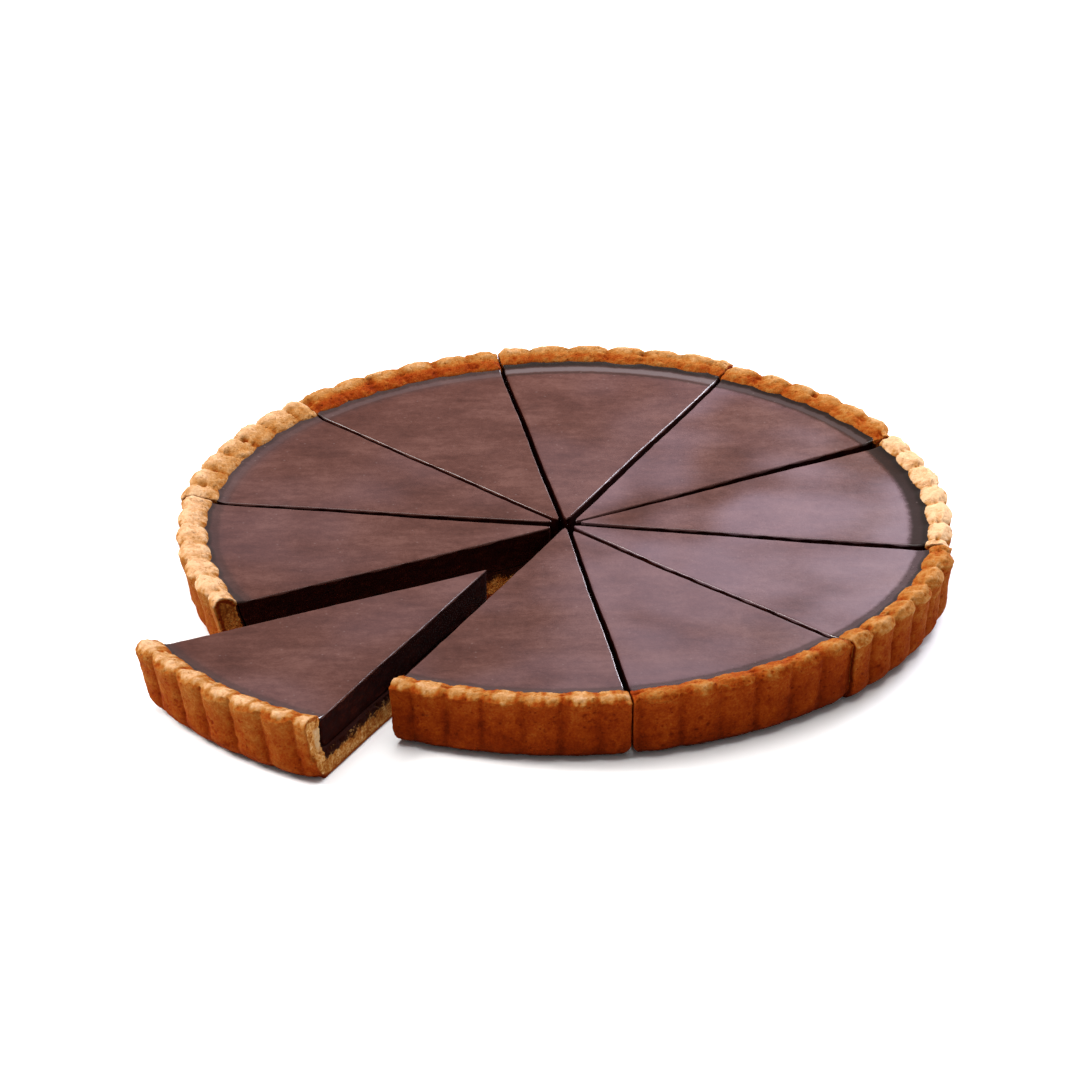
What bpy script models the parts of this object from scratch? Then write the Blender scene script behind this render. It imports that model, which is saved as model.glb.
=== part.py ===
"""Chocolate tart, 28 cm across, cut into ten portions.

Nine portions sit together as a ring and the tenth is drawn part of the way out.
Each portion is a wedge of shortcrust case with a fluted wall, and on it a wedge
of set chocolate filling.

Frame: +Z up, z = 0 is the underside of the case. The drawn portion points to
-X -Y. The origin is the middle of the underside of the whole's bounding box.
"""
import math

import bmesh
import bpy

MM = 0.001

# the whole
RIM_RADIUS = 140.0       # to the crown of a flute, at the lip
CREST_Z = 26.8           # top of the rim
FILLING_Z = 23.2         # level surface of the chocolate
CLEARANCE = 0.3          # between the chocolate and the case

# the case
BASE_THICK = 10.7        # pastry floor
FLUTES_ROUND = 63        # flutes in a full turn
FLUTE_DEPTH = 2.6        # crown to groove, at the lip
RIM_WAVE = 1.0           # how far each bead of the rim swells inwards
CONTACT_Z = 24.1         # where the chocolate meets the rim
FOOT_ROUND = 8.5         # rounded outer bottom edge
FLOOR_FILLET = 4.0       # inner corner between wall and floor

# the chocolate
MENISCUS_WIDTH = 6.0     # the surface climbs to the rim over this width

# cuts, anticlockwise from +X as seen from above, through the hub:
# angle, gap at the hub, gap at the rim, sideways drift of the cut at the hub
CUTS = {
    "a": (-116.7, 0.7, 0.7, 0.0),
    "b": (-81.0, 1.6, 2.3, 0.3),
    "c": (-44.3, 1.6, 1.8, -1.2),
    "d": (-9.9, 2.6, 3.6, 0.9),
    "e": (28.5, 0.9, 5.0, 0.0),
    "f": (63.7, 3.0, 1.6, 0.2),
    "g": (100.2, 2.1, 1.7, 0.85),
    "h": (135.3, 1.9, 1.4, 0.6),
    "i": (170.9, 4.0, 1.4, 0.7),
    "j": (206.8, 0.7, 0.7, 0.0),
}
LEAST_TIP_GAP = 0.35     # no tip crosses its cut at the hub

# portions of the ring: number, cuts on either side, how far the portion has slid
# outwards, where one groove between flutes stands, the breadth of its rim, and how
# far its wall leans out from foot to lip
RING = (
    ("02", "a", "b", 1.2, -97.0, 9.4, 2.2),
    ("03", "b", "c", 1.4, -67.6, 9.4, 2.2),
    ("04", "c", "d", 2.8, -28.8, 9.4, 2.2),
    ("05", "d", "e", -0.3, 10.3, 8.2, 2.2),
    ("06", "e", "f", 1.2, 47.0, 9.6, 2.2),
    ("07", "f", "g", 4.7, 83.3, 10.4, 2.2),
    ("08", "g", "h", 3.0, 116.7, 12.4, 2.2),
    ("09", "h", "i", 2.8, 150.7, 12.2, 2.6),
    ("10", "i", "j", 1.4, 192.0, 10.0, 3.6),
)

# the portion drawn out
DRAWN_NUMBER = "01"
DRAWN_TIP = (-28.9, -35.15)    # from the hub
DRAWN_HEADING = -135.9
DRAWN_ANGLE = 36.9
DRAWN_TIP_LOST = (2.9, 1.6)    # tip from the centre its rim is struck from
DRAWN_GROOVE = -137.0
DRAWN_RIM = 9.6
DRAWN_LEAN = 3.4
CRUMBLE = 1.4                  # its floor breaks out this far past the clean cut


def flute(theta, groove):
    """0 in a groove, 1 on the crown; crowns are round, grooves are narrow."""
    x = ((theta - groove) * FLUTES_ROUND / 360.0) % 1.0
    return (1.0 - (2.0 * x - 1.0) ** 2) ** 0.8


def case_rings(rim, lean):
    """Section of the wall from its foot, up, over the rim and down to the floor:
    radius, height, share of the flute depth taken off, share of the rim wave added."""
    foot = RIM_RADIUS - lean
    contact = RIM_RADIUS - rim
    rings = []
    for degrees, share in ((-90.0, 0.0), (-50.0, 0.45), (-15.0, 0.8)):
        a = math.radians(degrees)
        rings.append((foot - FOOT_ROUND + FOOT_ROUND * math.cos(a),
                      FOOT_ROUND + FOOT_ROUND * math.sin(a), share, 0.0))
    rings.append((RIM_RADIUS - 0.7, CREST_Z - 5.2, 0.95, 0.0))
    rings.append((RIM_RADIUS, CREST_Z - 3.2, 1.0, 0.0))
    rings.append((RIM_RADIUS - 1.7, CREST_Z - 0.9, 0.8, 0.0))
    rings.append((RIM_RADIUS - 0.52 * rim, CREST_Z, 0.25, 0.1))
    rings.append((RIM_RADIUS - 0.83 * rim, CREST_Z - 0.8, 0.0, 0.7))
    rings.append((contact, CONTACT_Z, 0.0, 1.0))
    rings.append((contact - 0.9, FILLING_Z - 4.0, 0.0, 0.5))
    rings.append((contact - 2.0, BASE_THICK + FLOOR_FILLET, 0.0, 0.0))
    rings.append((contact - 2.0 - FLOOR_FILLET, BASE_THICK, 0.0, 0.0))
    return rings


def filling_rings(rim):
    """Section of the chocolate from its bottom edge, up its side and over its top."""
    c = CLEARANCE
    contact = RIM_RADIUS - rim
    return [
        (contact - 2.0 - FLOOR_FILLET - c, BASE_THICK + c, 0.0, 0.0),
        (contact - 2.0 - 1.5 * c, BASE_THICK + FLOOR_FILLET + c, 0.0, 0.0),
        (contact - 0.9 - 1.3 * c, FILLING_Z - 4.0, 0.0, 0.5),
        (contact - 1.3 * c, CONTACT_Z - 0.2, 0.0, 1.0),
        (contact - 0.35 * MENISCUS_WIDTH, FILLING_Z + 0.3, 0.0, 0.5),
        (contact - MENISCUS_WIDTH, FILLING_Z, 0.0, 0.0),
    ]


class Side:
    """A cut face: a straight line in plan, in the portion's own axes."""

    def __init__(self, x0, y0, x1, y1):
        self.x, self.y = x0, y0
        length = math.hypot(x1 - x0, y1 - y0)
        self.dx, self.dy = (x1 - x0) / length, (y1 - y0) / length

    def angle_at(self, r):
        """Angle at which the line leaves the circle of radius r about the rim's centre."""
        b = self.x * self.dx + self.y * self.dy
        c = self.x * self.x + self.y * self.y - r * r
        t = -b + math.sqrt(b * b - c)
        return math.atan2(self.y + t * self.dy, self.x + t * self.dx)


def crossing(a, b):
    det = a.dx * -b.dy + b.dx * a.dy
    t = ((b.x - a.x) * -b.dy + b.dx * (b.y - a.y)) / det
    return a.x + t * a.dx, a.y + t * a.dy


def turned(x, y, degrees):
    a = math.radians(degrees)
    return x * math.cos(a) - y * math.sin(a), x * math.sin(a) + y * math.cos(a)


def columns(low, high, heading, groove):
    """Fractions of the way round, from one cut to the other, that follow the flutes."""
    start = math.degrees(low.angle_at(RIM_RADIUS))
    end = math.degrees(high.angle_at(RIM_RADIUS))
    pitch = 360.0 / FLUTES_ROUND
    marks = []
    first = math.floor((start + heading - groove) / pitch) - 1
    for k in range(first, first + FLUTES_ROUND):
        for part in (0.0, 0.2, 0.5, 0.8):
            theta = groove - heading + (k + part) * pitch
            if start + 0.5 < theta < end - 0.5:
                marks.append(theta)
    marks = [start] + marks + [end]
    return [(m - start) / (end - start) for m in marks], marks


def wedge_mesh(name, rings, tip_low_z, tip_high_z, low, high, heading, groove, crumble=0.0):
    """A closed wedge: the ring section swept from cut to cut, fanned in to the tip.
    Below the chocolate the anticlockwise face stands out by crumble."""
    us, marks = columns(low, high, heading, groove)
    tip_x, tip_y = crossing(low, high)
    verts = [(tip_x, tip_y, tip_low_z), (tip_x, tip_y, tip_high_z)]
    n = len(rings)
    for u, mark in zip(us, marks):
        crown = flute(mark + heading, groove)
        for radius, z, outer, inner in rings:
            r = radius - FLUTE_DEPTH * outer * (1.0 - crown) - RIM_WAVE * inner * crown
            start = low.angle_at(r)
            end = high.angle_at(r) + (crumble / r if z <= BASE_THICK else 0.0)
            a = start + (end - start) * u
            verts.append((r * math.cos(a), r * math.sin(a), z))

    def at(column, ring):
        return 2 + column * n + ring

    faces = []
    last = len(us) - 1
    for c in range(last):
        for k in range(n - 1):
            faces.append((at(c, k), at(c + 1, k), at(c + 1, k + 1), at(c, k + 1)))
        faces.append((0, at(c + 1, 0), at(c, 0)))
        faces.append((1, at(c, n - 1), at(c + 1, n - 1)))
    faces.append([0] + [at(0, k) for k in range(n)] + [1])
    faces.append([1] + [at(last, k) for k in reversed(range(n))] + [0])
    mesh = bpy.data.meshes.new(name)
    mesh.from_pydata([(x * MM, y * MM, z * MM) for x, y, z in verts], [], faces)
    bm = bmesh.new()
    bm.from_mesh(mesh)
    bmesh.ops.triangulate(bm, faces=[f for f in bm.faces if len(f.verts) > 4])
    bmesh.ops.recalc_face_normals(bm, faces=bm.faces)
    bm.to_mesh(mesh)
    bm.free()
    mesh.shade_smooth()
    mesh.set_sharp_from_angle(angle=math.radians(40.0))
    return mesh


def material(name, colour, roughness):
    made = bpy.data.materials.new(name)
    made.use_nodes = True
    shader = made.node_tree.nodes["Principled BSDF"]
    shader.inputs["Base Color"].default_value = (*colour, 1.0)
    shader.inputs["Roughness"].default_value = roughness
    return made


def place(name, mesh, x, y, heading, look):
    piece = bpy.data.objects.new(name, mesh)
    piece.data.materials.append(look)
    piece.location = (x * MM, y * MM, 0.0)
    piece.rotation_euler = (0.0, 0.0, math.radians(heading))
    bpy.context.scene.collection.objects.link(piece)
    return piece


def portion(number, x, y, heading, low, high, groove, rim, lean, pastry, chocolate,
            crumble=0.0):
    """One portion: its case and its filling, both struck from the same centre."""
    case = wedge_mesh("crust_" + number, case_rings(rim, lean), 0.0, BASE_THICK,
                      low, high, heading, groove, crumble)
    filling = wedge_mesh("filling_" + number, filling_rings(rim), BASE_THICK + CLEARANCE,
                         FILLING_Z, low, high, heading, groove)
    return [place("crust_" + number, case, x, y, heading, pastry),
            place("filling_" + number, filling, x, y, heading, chocolate)]


def cut_side(cut, which, x, y, heading):
    """The face left by a cut, on its anticlockwise (+1) or clockwise (-1) side."""
    angle, gap_hub, gap_rim, drift = CUTS[cut]
    at_hub = which * max(which * drift + gap_hub / 2.0, LEAST_TIP_GAP)
    at_rim = which * gap_rim / 2.0
    x0, y0 = turned(0.0, at_hub, angle)
    x1, y1 = turned(RIM_RADIUS, at_rim, angle)
    x0, y0 = turned(x0 - x, y0 - y, -heading)
    x1, y1 = turned(x1 - x, y1 - y, -heading)
    return Side(x0, y0, x1, y1)


def build():
    for old in list(bpy.data.objects):
        bpy.data.objects.remove(old, do_unlink=True)
    pastry = material("pastry", (0.48, 0.22, 0.07), 0.75)
    chocolate = material("chocolate", (0.10, 0.045, 0.032), 0.35)
    pieces = []
    for number, before, after, slid, groove, rim, lean in RING:
        heading = (CUTS[before][0] + CUTS[after][0]) / 2.0
        x, y = turned(slid, 0.0, heading)
        low = cut_side(before, 1, x, y, heading)
        high = cut_side(after, -1, x, y, heading)
        pieces += portion(number, x, y, heading, low, high, groove, rim, lean,
                          pastry, chocolate)
    tip_x, tip_y = DRAWN_TIP_LOST
    back = turned(-tip_x, -tip_y, DRAWN_HEADING)
    x, y = DRAWN_TIP[0] + back[0], DRAWN_TIP[1] + back[1]
    sides = []
    for which in (-1, 1):
        dx, dy = turned(100.0, 0.0, which * DRAWN_ANGLE / 2.0)
        sides.append(Side(tip_x, tip_y, tip_x + dx, tip_y + dy))
    pieces += portion(DRAWN_NUMBER, x, y, DRAWN_HEADING, sides[0], sides[1],
                      DRAWN_GROOVE, DRAWN_RIM, DRAWN_LEAN, pastry, chocolate, CRUMBLE)
    # centre the whole on the origin
    bpy.context.view_layer.update()
    points = [p.matrix_world @ v.co for p in pieces for v in p.data.vertices]
    mid_x = (min(q.x for q in points) + max(q.x for q in points)) / 2.0
    mid_y = (min(q.y for q in points) + max(q.y for q in points)) / 2.0
    for piece in pieces:
        piece.location.x -= mid_x
        piece.location.y -= mid_y
    print("hub at", round(-mid_x / MM, 3), round(-mid_y / MM, 3), "mm")


build()
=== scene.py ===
"""Looks of the chocolate tart: fluted baked case, set chocolate filling, nine portions
in a ring and the tenth drawn part of the way out."""
import math

import bmesh
import bpy
import numpy as np
from mathutils import Matrix, Vector
from mathutils.geometry import delaunay_2d_cdt


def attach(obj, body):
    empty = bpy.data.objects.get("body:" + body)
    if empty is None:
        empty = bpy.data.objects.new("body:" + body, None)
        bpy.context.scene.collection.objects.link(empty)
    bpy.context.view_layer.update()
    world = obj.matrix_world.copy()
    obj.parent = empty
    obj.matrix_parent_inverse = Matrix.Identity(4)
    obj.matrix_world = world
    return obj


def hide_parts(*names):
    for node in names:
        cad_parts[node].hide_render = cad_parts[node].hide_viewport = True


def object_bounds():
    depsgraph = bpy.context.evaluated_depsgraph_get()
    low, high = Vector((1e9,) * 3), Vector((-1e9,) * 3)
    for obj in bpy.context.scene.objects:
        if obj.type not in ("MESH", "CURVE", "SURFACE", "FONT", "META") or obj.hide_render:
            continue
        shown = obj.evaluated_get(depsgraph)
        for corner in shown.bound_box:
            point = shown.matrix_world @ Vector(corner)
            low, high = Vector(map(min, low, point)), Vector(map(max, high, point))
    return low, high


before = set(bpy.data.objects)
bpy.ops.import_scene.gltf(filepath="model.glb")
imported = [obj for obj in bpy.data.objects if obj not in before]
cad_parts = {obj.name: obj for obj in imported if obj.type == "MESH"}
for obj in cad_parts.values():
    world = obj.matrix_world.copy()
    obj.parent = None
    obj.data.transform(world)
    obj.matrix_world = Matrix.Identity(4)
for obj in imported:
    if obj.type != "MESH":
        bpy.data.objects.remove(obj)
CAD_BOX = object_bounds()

MM = 0.001

# ---------------------------------------------------------------- the part's own dimensions, in mm
RIM_RADIUS = 140.0
CREST_Z = 26.8
FILLING_Z = 23.2
CLEARANCE = 0.3
BASE_THICK = 10.7
FLUTES_ROUND = 63
FLUTE_DEPTH = 2.6
RIM_WAVE = 1.2
CONTACT_Z = 24.1
FOOT_ROUND = 8.5
FLOOR_FILLET = 4.0
MENISCUS_WIDTH = 6.0
LEAST_TIP_GAP = 0.35
INNER = 22.0          # inside this radius rows close in on the tip

CUTS = {
    "a": (-116.7, 0.7, 0.7, 0.0),
    "b": (-81.0, 1.6, 2.3, 0.3),
    "c": (-44.3, 1.6, 1.8, -1.2),
    "d": (-9.9, 2.6, 3.6, 0.9),
    "e": (28.5, 0.9, 5.0, 0.0),
    "f": (63.7, 3.0, 1.6, 0.2),
    "g": (100.2, 2.1, 1.7, 0.85),
    "h": (135.3, 1.9, 1.4, 0.6),
    "i": (170.9, 4.0, 1.4, 0.7),
    "j": (206.8, 0.7, 0.7, 0.0),
}
# the knife wandered a little: radius, sideways shift anticlockwise
WANDER = {
    "a": ((0, 0.0), (140, 0.0)),
    "b": ((20, 0.0), (55, -0.25), (90, 0.2), (120, -0.1), (140, 0.0)),
    "c": ((20, 0.0), (45, -0.6), (70, -0.3), (95, 0.25), (120, 0.1), (140, 0.0)),
    "d": ((20, 0.0), (50, 0.2), (85, -0.25), (115, 0.15), (140, 0.0)),
    "e": ((20, 0.0), (50, -0.25), (80, 0.2), (110, -0.2), (140, 0.0)),
    "f": ((20, 0.0), (60, 0.2), (95, -0.2), (140, 0.0)),
    "g": ((20, 0.0), (45, 0.2), (80, -0.2), (110, 0.15), (140, 0.0)),
    "h": ((20, 0.0), (55, -0.3), (80, 0.1), (110, -0.15), (140, 0.0)),
    "i": ((20, 0.0), (50, 0.3), (85, -0.25), (115, 0.2), (140, 0.0)),
    "j": ((20, 0.0), (60, 0.2), (100, -0.2), (140, 0.0)),
    "p": ((20, 0.0), (60, -0.2), (100, 0.2), (140, 0.0)),
    "q": ((20, 0.0), (55, 0.2), (90, -0.25), (120, 0.1), (140, 0.0)),
}

# where the pastry of neighbouring portions still touches: each side stands out this far at the rim
CLOSED = {"a": 0.0, "b": 0.80, "c": 0.80, "d": 1.45, "e": 2.15, "f": 0.55, "g": 0.50, "h": 0.45, "i": 0.40, "j": 0.0,
          "p": 0.0, "q": 0.0}
# crumbled away at the foot of the wall
NOTCHED = {"b": 2.2, "c": 1.5, "d": 0.6, "e": 0.5, "f": 0.5, "g": 0.5, "h": 0.5, "i": 0.5}

# number, cuts, slid outwards, rim breadth, wall lean, crest raised by (at either cut),
# how deep the flutes are, how far the rim stands up in beads, lip, how dark wall and rim are baked,
# how far the inside of the rim sinks with a darker band on it that is painted shade, and where the grooves stand, in
# degrees about the hub
RING = (
    ("02", "a", "b", 1.2, 9.4, 2.2, (-0.5, -0.8), 0.55, 0.10, 0.5, 0.76, 0.26, 0.0,
     (-113.5, -108.3, -103.0, -97.0, -91.5, -86.0)),
    ("03", "b", "c", 1.4, 9.4, 2.2, (-0.5, 0.0), 0.58, 0.28, 0.7, 0.76, 0.50, 0.0,
     (-79.7, -73.5, -67.6, -62.0, -56.0, -50.5, -45.0)),
    ("04", "c", "d", 2.8, 9.4, 2.2, (0.1, 0.1), 1.15, 1.30, 1.0, 0.68, 0.38, 0.1,
     (-39.7, -34.4, -28.9, -23.5, -18.0, -12.6)),
    ("05", "d", "e", -0.3, 8.2, 2.2, (0.0, 0.0), 1.05, 1.25, 1.0, 0.60, -0.05, 0.1,
     (-7.5, -2.0, 4.5, 10.0, 16.8, 22.0, 28.0)),
    ("06", "e", "f", 1.2, 9.6, 2.2, (0.1, 0.0), 0.95, 0.85, 0.8, 0.58, 0.30, 0.6,
     (36.3, 42.0, 47.0, 52.2, 57.5, 63.5)),
    ("07", "f", "g", 4.7, 10.4, 2.2, (0.0, 0.0), 0.95, 0.75, 0.8, 0.58, 0.27, 0.8,
     (66.4, 72.0, 77.5, 83.2, 89.0, 95.0, 100.5)),
    ("08", "g", "h", 3.0, 12.4, 2.2, (0.2, 0.1), 0.95, 0.60, 0.8, 0.58, 0.30, 1.2,
     (105.5, 111.0, 116.7, 122.4, 128.2, 134.0)),
    ("09", "h", "i", 2.8, 12.2, 2.6, (0.4, 0.2), 0.95, 1.20, 0.8, 0.55, 0.13, 0.35,
     (139.0, 145.0, 150.7, 156.0, 161.7, 167.0)),
    ("10", "i", "j", 1.4, 10.0, 3.6, (0.1, 0.0), 0.85, 0.22, 0.6, 0.52, 0.06, 0.0,
     (174.9, 180.6, 186.3, 192.0, 197.7, 203.4)),
)
DRAWN = ("01", "p", "q", 9.6, 3.4, (0.6, -0.1), 0.85, 0.10, 0.5, 0.58, 0.12, 0.0,
         (-149.0, -142.6, -137.0, -131.2, -125.3, -119.8))
DRAWN_TIP = (-28.9, -35.15)
DRAWN_HEADING = -135.9
DRAWN_ANGLE = 36.9
DRAWN_TIP_LOST = (2.9, 1.6)
CRUMBLE = 1.4
# corners worn back: by how much at the lower and the upper cut, and over what length
WORN = {"01": (0.8, 5.0, 2.8, 7.0), "04": (0.0, 5.0, 2.0, 9.0), "06": (3.0, 10.0, 0.4, 5.0), "05": (0.0, 5.0, 0.8, 6.0)}
# the rim is narrower by this much at the upper cut
NARROWER = {"10": 2.3}
# how high up the wall the paler colour of the rim comes, as a share of the height
PALER_FROM = {"01": 0.96, "02": 0.92, "03": 0.92, "10": 0.90}


# ---------------------------------------------------------------- repeatable noise
def _hash(ix, iy, iz, seed):
    h = (ix.astype(np.int64) * 374761393 + iy.astype(np.int64) * 668265263
         + iz.astype(np.int64) * 2147483647 + seed * 974711) & 0xFFFFFFFF
    h = ((h ^ (h >> 13)) * 1274126177) & 0xFFFFFFFF
    h = ((h ^ (h >> 16)) * 2246822519) & 0xFFFFFFFF
    return (h ^ (h >> 15)) & 0xFFFFFFFF


GRADIENTS = np.array([(1, 1, 0), (-1, 1, 0), (1, -1, 0), (-1, -1, 0), (1, 0, 1), (-1, 0, 1),
                      (1, 0, -1), (-1, 0, -1), (0, 1, 1), (0, -1, 1), (0, 1, -1), (0, -1, -1),
                      (1, 1, 0), (-1, 1, 0), (0, -1, 1), (0, -1, -1)], float)


def noise(p, size, seed):
    """Smooth noise, about -1 to 1; size is the width of a lump."""
    q = p / size
    base = np.floor(q)
    f = q - base
    w = f * f * f * (f * (f * 6 - 15) + 10)
    total = np.zeros(len(p))
    for dx in (0, 1):
        for dy in (0, 1):
            for dz in (0, 1):
                g = GRADIENTS[_hash(base[:, 0] + dx, base[:, 1] + dy, base[:, 2] + dz, seed) & 15]
                dot = (g * (f - (dx, dy, dz))).sum(1)
                share = ((w[:, 0] if dx else 1 - w[:, 0]) * (w[:, 1] if dy else 1 - w[:, 1])
                         * (w[:, 2] if dz else 1 - w[:, 2]))
                total += dot * share
    return total


def fractal(p, size, octaves, seed):
    total, amount = 0.0, 1.0
    for k in range(octaves):
        total = total + amount * noise(p, size / 2 ** k, seed + 17 * k)
        amount *= 0.5
    return total


def cells(p, size, seed):
    """Distance to the nearest scattered point, in cell widths, and that point's own number."""
    q = p / size
    base = np.floor(q)
    best = np.full(len(p), 9.0)
    own = np.zeros(len(p))
    for dx in (-1, 0, 1):
        for dy in (-1, 0, 1):
            for dz in (-1, 0, 1):
                c = base + (dx, dy, dz)
                h = _hash(c[:, 0], c[:, 1], c[:, 2], seed)
                at = c + np.stack([(h & 1023) / 1023, ((h >> 10) & 1023) / 1023,
                                   ((h >> 20) & 1023) / 1023], 1)
                d = np.sqrt(((q - at) ** 2).sum(1))
                h2 = _hash(c[:, 0], c[:, 1], c[:, 2], seed + 5) / 4294967295.0
                near = d < best
                best = np.where(near, d, best)
                own = np.where(near, h2, own)
    return best, own


def smooth(a, b, x):
    t = np.clip((x - a) / (b - a), 0.0, 1.0)
    return t * t * (3 - 2 * t)


# ---------------------------------------------------------------- plan of a portion
class Side:
    """A cut face: a line in plan, in the portion's own axes, that wanders a little."""

    def __init__(self, x0, y0, x1, y1, wander, out, proud=0.0):
        self.x, self.y = x0, y0
        self.out = out
        self.close_by, self.close_from = CLOSED[wander], None
        self.notch = NOTCHED.get(wander, 0.0)
        length = math.hypot(x1 - x0, y1 - y0)
        self.dx, self.dy = (x1 - x0) / length, (y1 - y0) / length
        self.at = [r for r, _ in WANDER[wander]]
        self.by = [s for _, s in WANDER[wander]]
        self.proud = proud
        self.blunt = 0.0

    def angle_at(self, r):
        b = self.x * self.dx + self.y * self.dy
        c = self.x * self.x + self.y * self.y - r * r
        t = -b + np.sqrt(b * b - c)
        return np.arctan2(self.y + t * self.dy, self.x + t * self.dx)

    def angle(self, r, z):
        """With the knife's wander, and the crumbled floor that stands proud of the cut."""
        shift = np.interp(r, self.at, self.by)
        a = self.angle_at(r) + shift / r
        if self.close_from is not None:
            by = self.close_by * smooth(self.close_from - 1.5, self.close_from + 0.8, r)
            by = by - self.notch * smooth(5.5, 0.5, z) * smooth(RIM_RADIUS - 20.0, RIM_RADIUS - 12.0, r)
            a = a + self.out * by / r
        if self.proud:
            ragged = BASE_THICK - 0.4 + 0.7 * np.sin(r * 0.9) + 0.5 * np.sin(r * 2.3 + 1.0)
            a = a + self.proud * smooth(0.9, -0.9, z - ragged) / r
        return a


def crossing(a, b):
    det = a.dx * -b.dy + b.dx * a.dy
    t = ((b.x - a.x) * -b.dy + b.dx * (b.y - a.y)) / det
    return a.x + t * a.dx, a.y + t * a.dy


def turned(x, y, degrees):
    a = math.radians(degrees)
    return x * math.cos(a) - y * math.sin(a), x * math.sin(a) + y * math.cos(a)


def cut_side(cut, which, x, y, heading):
    angle, gap_hub, gap_rim, drift = CUTS[cut]
    at_hub = which * max(which * drift + gap_hub / 2.0, LEAST_TIP_GAP)
    at_rim = which * gap_rim / 2.0
    x0, y0 = turned(0.0, at_hub, angle)
    x1, y1 = turned(RIM_RADIUS, at_rim, angle)
    x0, y0 = turned(x0 - x, y0 - y, -heading)
    x1, y1 = turned(x1 - x, y1 - y, -heading)
    return Side(x0, y0, x1, y1, cut, -which)


class Flutes:
    """Where every lobe of a portion's wall begins and ends, and how each one differs."""

    def __init__(self, marks, random):
        marks = list(marks)
        pitch = 360.0 / FLUTES_ROUND
        marks = [marks[0] - 2 * pitch, marks[0] - pitch] + marks + [marks[-1] + pitch, marks[-1] + 2 * pitch]
        self.marks = np.array(marks)
        n = len(marks)
        self.depth = random.uniform(0.85, 1.12, n)
        self.bulge = random.uniform(-0.25, 0.2, n)
        self.raised = random.uniform(-0.35, 0.35, n)
        self.lip = random.uniform(-0.5, 0.5, n)
        self.lip_sag = random.uniform(1.0, 2.4, n)
        self.lip_proud = random.uniform(0.30, 0.62, n)
        self.dimple = random.uniform(0.1, 1.0, n) ** 1.5
        self.dimple_at = random.uniform(-0.8, 0.8, n)
        self.inward = random.uniform(0.5, 1.35, n)

    def at(self, theta):
        """For angles in degrees: lobe number, place across the lobe 0 to 1."""
        k = np.clip(np.searchsorted(self.marks, theta) - 1, 0, len(self.marks) - 2)
        x = (theta - self.marks[k]) / (self.marks[k + 1] - self.marks[k])
        return k, np.clip(x, 0.0, 1.0)


# ---------------------------------------------------------------- sections
def resampled(points, steps):
    """Points of a smooth curve through these rows, the step in mm given for each span."""
    p = np.array(points, float)
    rows = []
    n = len(p)
    for i in range(n - 1):
        p0, p1, p2, p3 = p[max(i - 1, 0)], p[i], p[i + 1], p[min(i + 2, n - 1)]
        count = max(1, int(round(math.hypot(*(p2[:2] - p1[:2])) / steps[i])))
        for j in range(count):
            t = j / count
            # centripetal-like tangents, limited so that the curve keeps within its points
            m1 = (p2 - p0) * 0.5 * min(1.0, 2.0 * np.linalg.norm(p2[:2] - p1[:2]) / max(1e-6, np.linalg.norm(p2[:2] - p0[:2])))
            m2 = (p3 - p1) * 0.5 * min(1.0, 2.0 * np.linalg.norm(p2[:2] - p1[:2]) / max(1e-6, np.linalg.norm(p3[:2] - p1[:2])))
            h = (2 * t ** 3 - 3 * t ** 2 + 1) * p1 + (t ** 3 - 2 * t ** 2 + t) * m1 \
                + (-2 * t ** 3 + 3 * t ** 2) * p2 + (t ** 3 - t ** 2) * m2
            rows.append(h)
    rows.append(p[-1])
    return np.array(rows)


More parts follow.
